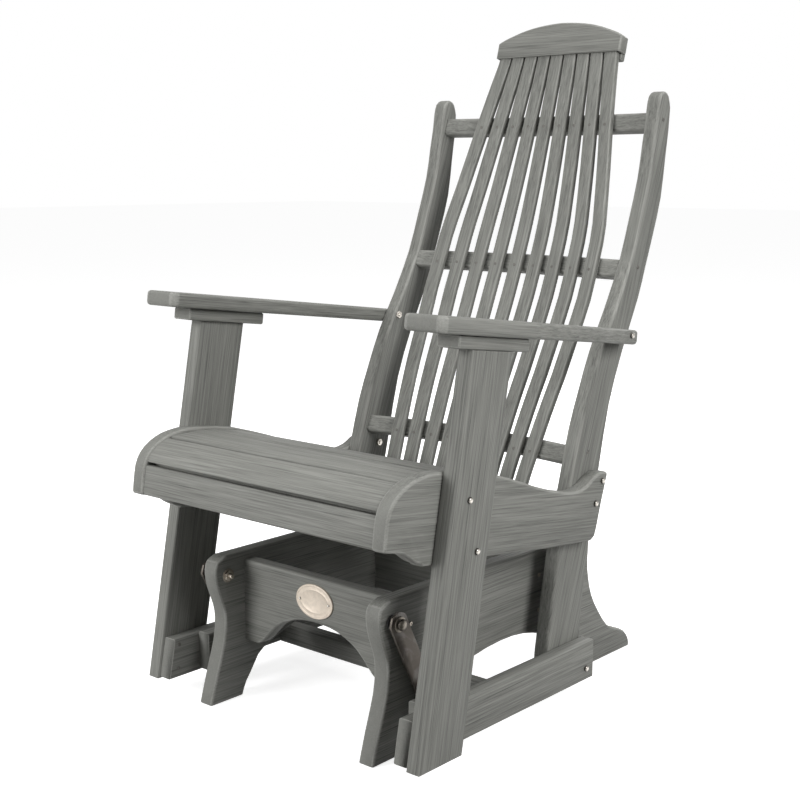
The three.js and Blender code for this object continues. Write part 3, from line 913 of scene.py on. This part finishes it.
def hex_nut(across_flats, thickness, bolt_radius, proud):
    """A hexagon nut with chamfered corners, and the domed end of its bolt standing proud."""
    radius = across_flats / math.sqrt(3)
    chamfer = thickness * 0.16
    sink = thickness * 0.12
    lip = bolt_radius * 0.12
    crown = bolt_radius * 0.25
    flat = radius * 0.86
    narrowest = 0.0004
    nut = standing_rod("nut", radius, thickness, sides=6)
    select_top_edges(nut, thickness)
    bpy.ops.mesh.bevel(offset=chamfer, segments=2)
    select_faces(nut, lambda face: face.normal.z > LEVEL)
    bpy.ops.mesh.inset(thickness=max(flat - bolt_radius - lip, narrowest))
    bpy.ops.mesh.inset(thickness=lip, depth=-sink)
    leave_edit()
    end = standing_rod("bolt end", bolt_radius, thickness + proud, sides=20)
    select_top_edges(end, thickness + proud)
    bpy.ops.mesh.bevel(offset=crown, segments=3)
    leave_edit()
    joined([nut, end], "nut")
    smooth(nut, degrees=30)
    return nut


def shank(radius, length):
    """A plain round rod with eased ends."""
    ease = radius * 0.1
    rod = standing_rod("shank", radius, length, sides=24)
    select_edges(rod, lambda edge: edge.calc_face_angle(0) > CORNER)
    bpy.ops.mesh.bevel(offset=ease, segments=1)
    leave_edit()
    smooth(rod, degrees=35)
    return rod


def screw_head(radius):
    """A low pan head with a round sunken drive."""
    depth = radius * 0.34
    crown = depth * 0.55
    land = radius * 0.36
    wall = radius * 0.03
    drive = depth * 0.7
    head = standing_rod("screw", radius, depth, sides=16)
    select_top_edges(head, depth)
    bpy.ops.mesh.bevel(offset=crown, segments=2)
    select_faces(head, lambda face: face.normal.z > LEVEL)
    bpy.ops.mesh.inset(thickness=land)
    bpy.ops.mesh.inset(thickness=wall, depth=-drive)
    leave_edit()
    smooth(head, degrees=30)
    return head


def finish_fitting(piece, body, nodes=(), slot="bolt_steel", look=None):
    """Gives a fitting its finish and body, and the nodes that it stands for."""
    give_finish(piece, slot, look)
    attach(piece, body)
    if nodes:
        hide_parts(*nodes)


# Pivots

# Radii of the pivots' heads, shanks, shoulders and washers, and depths of their washers
PIVOT_HEAD = 0.0095
PIVOT_SHANK = 0.0049
PIVOT_SHOULDER = 0.0098
UPPER_WASHER = 0.0125
LOWER_WASHER = 0.0128
THIN_WASHER = 0.0016
THICK_WASHER = 0.0018
# The upper pivots' nuts, the bolt ends in them, and what is left free behind each nut
PIVOT_NUT = 0.0165
PIVOT_THREAD = 0.0045
THREAD_PROUD = 0.0075
NUT_ROOM = 0.0018
# Play between a link and its washer, and between a shoulder and its board
UPPER_PLAY = 0.0001
LOWER_PLAY = 0.0003
SHOULDER_PLAY = 0.0001
# What the rim takes of the room for a pivot's head
UPPER_RIM = 0.0015
LOWER_RIM = 0.0017
# A bush's flange as a share of its length, and its barrel as a share of its radius
FLANGE_SHARE = 0.22
BARREL_SHARE = 0.72


class GLIDER_OT_pivots(bpy.types.Operator):
    """Makes the pivot bolts with their washers, nuts and domed heads"""

    bl_idname = "glider.pivots"
    bl_label = "Pivot bolts"

    def execute(self, context):
        for end in ENDS:
            for side, sign in SIDES:
                self.upper(end, side, sign)
                self.lower(end, side, sign)
        return {"FINISHED"}

    def upper(self, end, side, sign):
        """A bolt from its nut inside the base, through base side, bush and link, to its head."""
        node = f"upper_pivot_bolt_{end}_{side}"
        centre = node_middle(node)
        board = inner_face(f"base_side_{side}")
        link = outer_face(f"link_{end}_{side}")
        head = link + UPPER_PLAY + THIN_WASHER
        nut_depth = board - inner_face(node) - THIN_WASHER - NUT_ROOM
        parts = [
            placed(washer(UPPER_WASHER, THIN_WASHER), on_axis(centre, sign, board, inwards=True)),
            placed(hex_nut(PIVOT_NUT, nut_depth, PIVOT_THREAD, THREAD_PROUD),
                   on_axis(centre, sign, board - THIN_WASHER, inwards=True)),
            placed(shank(PIVOT_SHANK, link - board), on_axis(centre, sign, board)),
            placed(washer(UPPER_WASHER, THIN_WASHER), on_axis(centre, sign, link + UPPER_PLAY)),
            placed(dome_head(PIVOT_HEAD, outer_face(node) - head - UPPER_RIM), on_axis(centre, sign, head)),
        ]
        finish_fitting(joined(parts, f"upper_pivot_{end}_{side}"), "base", [node], look="tarnished")

    def lower(self, end, side, sign):
        """A bolt from its head inside the link, through the link, to its shoulder on the frame."""
        node = f"lower_pivot_bolt_{end}_{side}"
        centre = node_middle(node)
        link = f"link_{end}_{side}"
        link_inner = inner_face(link)
        link_outer = outer_face(link)
        leg = inner_face(f"pivot_block_{side}" if end == "front" else f"back_upright_{side}")
        head = link_inner - LOWER_PLAY - THIN_WASHER
        shoulder = link_outer + LOWER_PLAY + THICK_WASHER
        parts = [
            placed(washer(LOWER_WASHER, THIN_WASHER),
                   on_axis(centre, sign, link_inner - LOWER_PLAY, inwards=True)),
            placed(dome_head(PIVOT_HEAD, head - inner_face(node) - LOWER_RIM),
                   on_axis(centre, sign, head, inwards=True)),
            placed(shank(PIVOT_SHANK, outer_face(node) - link_inner), on_axis(centre, sign, link_inner)),
            placed(washer(LOWER_WASHER, THICK_WASHER), on_axis(centre, sign, link_outer + LOWER_PLAY)),
            placed(shank(PIVOT_SHOULDER, leg - shoulder - SHOULDER_PLAY), on_axis(centre, sign, shoulder)),
        ]
        finish_fitting(joined(parts, f"lower_pivot_{end}_{side}"), "seat_frame", [node], look="tarnished")


class GLIDER_OT_bushes(bpy.types.Operator):
    """Makes the flanged bushes between the base and the links"""

    bl_idname = "glider.bushes"
    bl_label = "Bushes"

    def execute(self, context):
        for end in ENDS:
            for side, sign in SIDES:
                node = f"pivot_bush_{end}_{side}"
                low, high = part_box(node)
                centre = node_middle(node)
                inner = inner_face(node)
                radius = (high.z - low.z) / 2
                flange = (high.x - low.x) * FLANGE_SHARE
                barrel = high.x - low.x - 2 * flange
                parts = [
                    placed(washer(radius, flange), on_axis(centre, sign, inner)),
                    placed(washer(radius * BARREL_SHARE, barrel), on_axis(centre, sign, inner + flange)),
                    placed(washer(radius, flange), on_axis(centre, sign, inner + flange + barrel)),
                ]
                finish_fitting(joined(parts, f"flanged_bush_{end}_{side}"), "base", [node], "bush")
        return {"FINISHED"}


# Badge

# The plate's depth, and where its pins stand, as shares of the CAD plate's depth and half width
PLATE_SHARE = 0.72
PIN_DEPTH = 0.75
PIN_REACH = 0.78
# The pins' heads
PIN_RADIUS = 0.0022
PIN_HEIGHT = 0.0009
# The face's steps from the edge inwards: how wide each is, and its rise as a share of the depth
BADGE_STEPS = (
    (0.0008, 0.24), (0.0026, 0), (0.0007, -0.26),
    (0.0052, 0), (0.0004, 0.08), (0.0007, 0), (0.0004, -0.08),
)
# Edges of the badge that bend by more than this, in radians, are eased by this
BADGE_CORNER = 0.6
BADGE_EASE = 0.00022


class GLIDER_OT_badge(bpy.types.Operator):
    """Makes the bare oval badge with its raised rim and two pins"""

    bl_idname = "glider.badge"
    bl_label = "Badge"

    def execute(self, context):
        low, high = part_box("badge_plate")
        centre = (low + high) / 2
        half_width = (high.x - low.x) / 2
        half_height = (high.z - low.z) / 2
        depth = high.y - low.y
        plate_depth = depth * PLATE_SHARE
        forwards = (0, -1, 0)
        clear_selection()
        bpy.ops.mesh.primitive_cylinder_add(vertices=64, radius=half_width, depth=plate_depth)
        plate = added("badge_oval")
        edit(plate)
        bpy.ops.transform.resize(value=(1, half_height / half_width, 1))
        select_faces(plate, lambda face: face.normal.z > LEVEL)
        for width, rise in BADGE_STEPS:
            bpy.ops.mesh.inset(thickness=width, depth=depth * rise)
        select_edges(plate, lambda edge: edge.calc_face_angle(0) > BADGE_CORNER)
        bpy.ops.mesh.bevel(offset=BADGE_EASE, segments=2)
        leave_edit()
        placed(plate, facing((centre.x, high.y - plate_depth / 2, centre.z), forwards))
        smooth(plate, degrees=40)
        finish_fitting(plate, "base", ["badge_plate"], "badge")
        reach = half_width * PIN_REACH
        pin_y = high.y - depth * PIN_DEPTH
        pins = [facing((centre.x + sign * reach, pin_y, centre.z), forwards) for sign in (-1, 1)]
        finish_fitting(copies(dome_head(PIN_RADIUS, PIN_HEIGHT), "badge_pins", pins), "base")
        return {"FINISHED"}


# Bolts and screws

# Domed bolts through the frame boards: where they stand behind the feet and above the floor
POST_BOLTS = ((0.096, 0.434), (0.115, 0.350))
UPRIGHT_BOLTS = ((0.509, 0.3895), (0.4885, 0.352))
RAIL_BOLTS = ((0.470, 0.054),)
ARM_BOLT = (0.569, 0.642)
# How far each nut is turned for each metre that it stands behind the feet
NUT_TURN = 9

# Screws into the rails' ends, the seat's rear, the posts and the base's boards
UPRIGHT_SCREWS = ((0.727, 1.019), (0.654, 0.755), (0.504, 0.438))
SEAT_SCREW = (0.5165, 0.3885)
RAIL_SCREWS = ((0.007, 0.092), (0.004, 0.048))
BASE_SCREWS = ((0.0925, 0.2145), (0.094, 0.135), (0.444, 0.215), (0.444, 0.150))
# The radius of the back slats' screws, as a share of the others'
SLAT_SCREW_SHARE = 0.8


def on_face(node, start, direction):
    """The place on a board's face that a line from the start meets first."""
    mesh = frame["nodes"][node].data
    points = [vertex.co for vertex in mesh.vertices]
    surface = BVHTree.FromPolygons(points, [face.vertices for face in mesh.polygons])
    point, normal, _, _ = surface.ray_cast(start, Vector(direction))
    return facing(point, normal)


def on_slat(node, height):
    """The place on the middle of a slat's front face at a height."""
    mesh = frame["nodes"][node].data
    reach = 0.04
    near = [vertex.co for vertex in mesh.vertices if abs(vertex.co.z - height) < reach]
    mean = sum(near, Vector()) / len(near)
    rise = sum((point.z - mean.z) ** 2 for point in near)
    slope = sum((point.z - mean.z) * (point.x - mean.x) for point in near) / rise
    start = Vector((mean.x + slope * (height - mean.z), CAD_BOX[0][1] - reach, height))
    return on_face(node, start, (0, 1, 0))


class GLIDER_OT_carriage_bolts(bpy.types.Operator):
    """Makes the domed bolts through the posts, seat sides, rails and armrests, and their nuts"""

    bl_idname = "glider.carriage_bolts"
    bl_label = "Carriage bolts"

    def execute(self, context):
        look = context.scene.glider_fittings
        heads = []
        nuts = []
        groups = (
            (POST_BOLTS, "arm_post", "seat_side"),
            (UPRIGHT_BOLTS, "seat_side", "back_upright"),
            (RAIL_BOLTS, "lower_rail", "back_upright"),
        )
        for side, sign in SIDES:
            out, back = (sign, 0, 0), (-sign, 0, 0)
            for places, outer, inner in groups:
                head_x = sign * outer_face(f"{outer}_{side}")
                nut_x = sign * inner_face(f"{inner}_{side}")
                for y, z in places:
                    heads.append(facing(fitting_point(head_x, y, z), out))
                    nuts.append(facing(fitting_point(nut_x, y, z), back, turn=y * NUT_TURN))
            heads.append(on_face(f"armrest_{side}", fitting_point(sign, *ARM_BOLT), back))
            nuts.append(facing(fitting_point(sign * inner_face(f"back_upright_{side}"), *ARM_BOLT), back))
        head = dome_head(look.carriage_radius, look.carriage_height)
        finish_fitting(copies(head, "carriage_heads", heads), "seat_frame")
        nut = hex_nut(across_flats=0.0125, thickness=0.0048, bolt_radius=0.0038, proud=0.0022)
        finish_fitting(copies(nut, "carriage_nuts", nuts), "seat_frame")
        return {"FINISHED"}


class GLIDER_OT_screws(bpy.types.Operator):
    """Makes the screws in the back slats, the uprights, the lower rails and the base"""

    bl_idname = "glider.screws"
    bl_label = "Screws"

    def execute(self, context):
        radius = context.scene.glider_fittings.screw_radius
        slats = [on_slat(node, node_middle(f"back_rail_{rail}").z)
                 for rail in ("bottom", "middle", "top") for node in back_slats()]
        others = []
        base = []
        for side, sign in SIDES:
            out, back = (sign, 0, 0), (-sign, 0, 0)
            upright = sign * outer_face(f"back_upright_{side}")
            others += [facing(fitting_point(upright, y, z), out) for y, z in UPRIGHT_SCREWS]
            others.append(facing(fitting_point(sign * inner_face(f"back_upright_{side}"), *SEAT_SCREW), back))
            rail = sign * inner_face(f"lower_rail_{side}")
            others += [facing(fitting_point(rail, y, z), back) for y, z in RAIL_SCREWS]
            board = sign * outer_face(f"base_side_{side}")
            base += [facing(fitting_point(board, y, z), out) for y, z in BASE_SCREWS]
        groups = (
            ("slat_screws", radius * SLAT_SCREW_SHARE, slats, "seat_frame", "coated"),
            ("frame_screws", radius, others, "seat_frame", "coated"),
            ("base_screws", radius, base, "base", "tarnished"),
        )
        for name, head_radius, places, body, look in groups:
            finish_fitting(copies(screw_head(head_radius), name, places), body, look=look)
        return {"FINISHED"}


# Stage

# The floor's width, and how far it lies below the feet, so that the two don't share a plane
FLOOR_SIZE = 60
FLOOR_DROP = 0.0004
# Strengths of the floor's glow and of the backdrop as they are seen, and of the light that fills the shadows
FLOOR_GLOW = 0.8
BACKDROP = 1.0
FILL = 0.2
# Each soft lamp's name, place, width and power; all of them look at a point above the seat
LAMPS = (
    ("key", (-1.3, -3.0, 1.4), 1.6, 79),
    ("side", (3.0, -0.4, 1.9), 1.7, 82),
    ("top", (0.2, 0.2, 5.0), 3.4, 112),
    ("back", (-0.8, 3.2, 1.8), 2.0, 40),
)
LAMP_AIM = Vector((0, 0, 0.5))
# The camera's place across the chair, behind the base's front feet and above the floor, and its sensor in mm
CAMERA_PLACE = (1.56734, -1.49176, 0.92508)
SENSOR = 36


class GLIDER_OT_stage(bpy.types.Operator):
    """Lays the pale floor and sets the light and the camera"""

    bl_idname = "glider.stage"
    bl_label = "Stage"

    def execute(self, context):
        self.floor(context)
        self.light(context)
        self.camera(context)
        context.scene.view_settings.view_transform = "Standard"
        return {"FINISHED"}

    def floor(self, context):
        """A floor that shows pale with the chair's shadow, and sends only a little light back up."""
        look = context.scene.glider_stage
        clear_selection()
        bpy.ops.mesh.primitive_plane_add(size=FLOOR_SIZE, location=(0, 0, -FLOOR_DROP))
        ground = added("floor")
        settle(ground)
        finish = bpy.data.materials.new("pale_floor")
        finish.use_nodes = True
        tree = finish.node_tree
        tree.nodes.clear()
        diffuse = tree.nodes.new("ShaderNodeBsdfDiffuse")
        diffuse.inputs["Color"].default_value = (*look.floor, 1)
        bounce = tree.nodes.new("ShaderNodeBsdfDiffuse")
        bounce.inputs["Color"].default_value = (*look.bounce, 1)
        glow = tree.nodes.new("ShaderNodeEmission")
        glow.inputs["Color"].default_value = (*WHITE, 1)
        glow.inputs["Strength"].default_value = FLOOR_GLOW
        both = tree.nodes.new("ShaderNodeAddShader")
        tree.links.new(diffuse.outputs[0], both.inputs[0])
        tree.links.new(glow.outputs[0], both.inputs[1])
        self.choose(tree, "ShaderNodeOutputMaterial", bounce, both)
        ground.data.materials.append(finish)

    def light(self, context):
        """A white backdrop, a weak fill and soft lamps."""
        world = bpy.data.worlds.new("soft studio")
        context.scene.world = world
        world.use_nodes = True
        tree = world.node_tree
        tree.nodes.clear()
        backdrop = tree.nodes.new("ShaderNodeBackground")
        backdrop.inputs["Strength"].default_value = BACKDROP
        fill = tree.nodes.new("ShaderNodeBackground")
        fill.inputs["Strength"].default_value = FILL
        for shade in (backdrop, fill):
            shade.inputs["Color"].default_value = (*WHITE, 1)
        self.choose(tree, "ShaderNodeOutputWorld", fill, backdrop)
        for name, place, width, power in LAMPS:
            bpy.ops.object.light_add(type="AREA", location=place)
            lamp = bpy.context.object
            lamp.name = name
            lamp.data.size = width
            lamp.data.energy = power
            lamp.rotation_euler = (LAMP_AIM - Vector(place)).to_track_quat("-Z", "Y").to_euler()

    def choose(self, tree, kind, lighting, shown):
        """Ends a tree with one shader that lights the chair and another that shows behind it."""
        output = tree.nodes.new(kind)
        choice = tree.nodes.new("ShaderNodeMixShader")
        tree.links.new(self.seen(tree), choice.inputs[0])
        tree.links.new(lighting.outputs[0], choice.inputs[1])
        tree.links.new(shown.outputs[0], choice.inputs[2])
        tree.links.new(choice.outputs[0], output.inputs["Surface"])

    def seen(self, tree):
        """1 for the rays that show the background, straight or in metal and glass."""
        path = tree.nodes.new("ShaderNodeLightPath")
        either = calculate(tree, "MAXIMUM", path.outputs["Is Camera Ray"], path.outputs["Is Glossy Ray"])
        return calculate(tree, "MAXIMUM", either, path.outputs["Is Transmission Ray"])

    def camera(self, context):
        """A camera at the photograph's place and angle."""
        look = context.scene.glider_stage
        level = math.cos(look.elevation)
        right = Vector((math.cos(look.azimuth), math.sin(look.azimuth), 0))
        back = Vector((right.y * level, -right.x * level, math.sin(look.elevation)))
        turn = Matrix((right, back.cross(right), back)).transposed().to_4x4()
        clear_selection()
        bpy.ops.object.camera_add()
        camera = bpy.context.object
        camera.name = "photograph"
        camera.matrix_world = Matrix.Translation(fitting_point(*CAMERA_PLACE)) @ turn
        camera.data.lens = look.lens
        camera.data.sensor_width = SENSOR
        camera.data.sensor_fit = "HORIZONTAL"
        context.scene.camera = camera


# Panel and registration
SETTINGS = (
    ("glider_boards", BoardSettings),
    ("glider_fittings", FittingSettings),
    ("glider_stage", StageSettings),
)
STEPS = (
    GLIDER_OT_base, GLIDER_OT_lower_frame, GLIDER_OT_arms, GLIDER_OT_seat, GLIDER_OT_back,
    GLIDER_OT_links, GLIDER_OT_pivots, GLIDER_OT_bushes, GLIDER_OT_badge,
    GLIDER_OT_carriage_bolts, GLIDER_OT_screws, GLIDER_OT_stage,
)


class GLIDER_PT_panel(bpy.types.Panel):
    """Lists the chair's settings and the steps that build it"""

    bl_idname = "GLIDER_PT_panel"
    bl_label = "Glider chair"
    bl_space_type = "VIEW_3D"
    bl_region_type = "UI"
    bl_category = "Glider chair"

    def draw(self, context):
        for group, settings in SETTINGS:
            box = self.layout.box()
            for name in settings.__annotations__:
                box.prop(getattr(context.scene, group), name)
        for step in STEPS:
            self.layout.operator(step.bl_idname)


def register():
    for name, settings in SETTINGS:
        bpy.utils.register_class(settings)
        setattr(bpy.types.Scene, name, PointerProperty(type=settings))
    for step in (*STEPS, GLIDER_PT_panel):
        bpy.utils.register_class(step)


def unregister():
    for step in (GLIDER_PT_panel, *reversed(STEPS)):
        bpy.utils.unregister_class(step)
    for name, settings in reversed(SETTINGS):
        delattr(bpy.types.Scene, name)
        bpy.utils.unregister_class(settings)


def main():
    register()
    for step in STEPS:
        group, name = step.bl_idname.split(".")
        getattr(getattr(bpy.ops, group), name)()


if __name__ == "__main__":
    main()
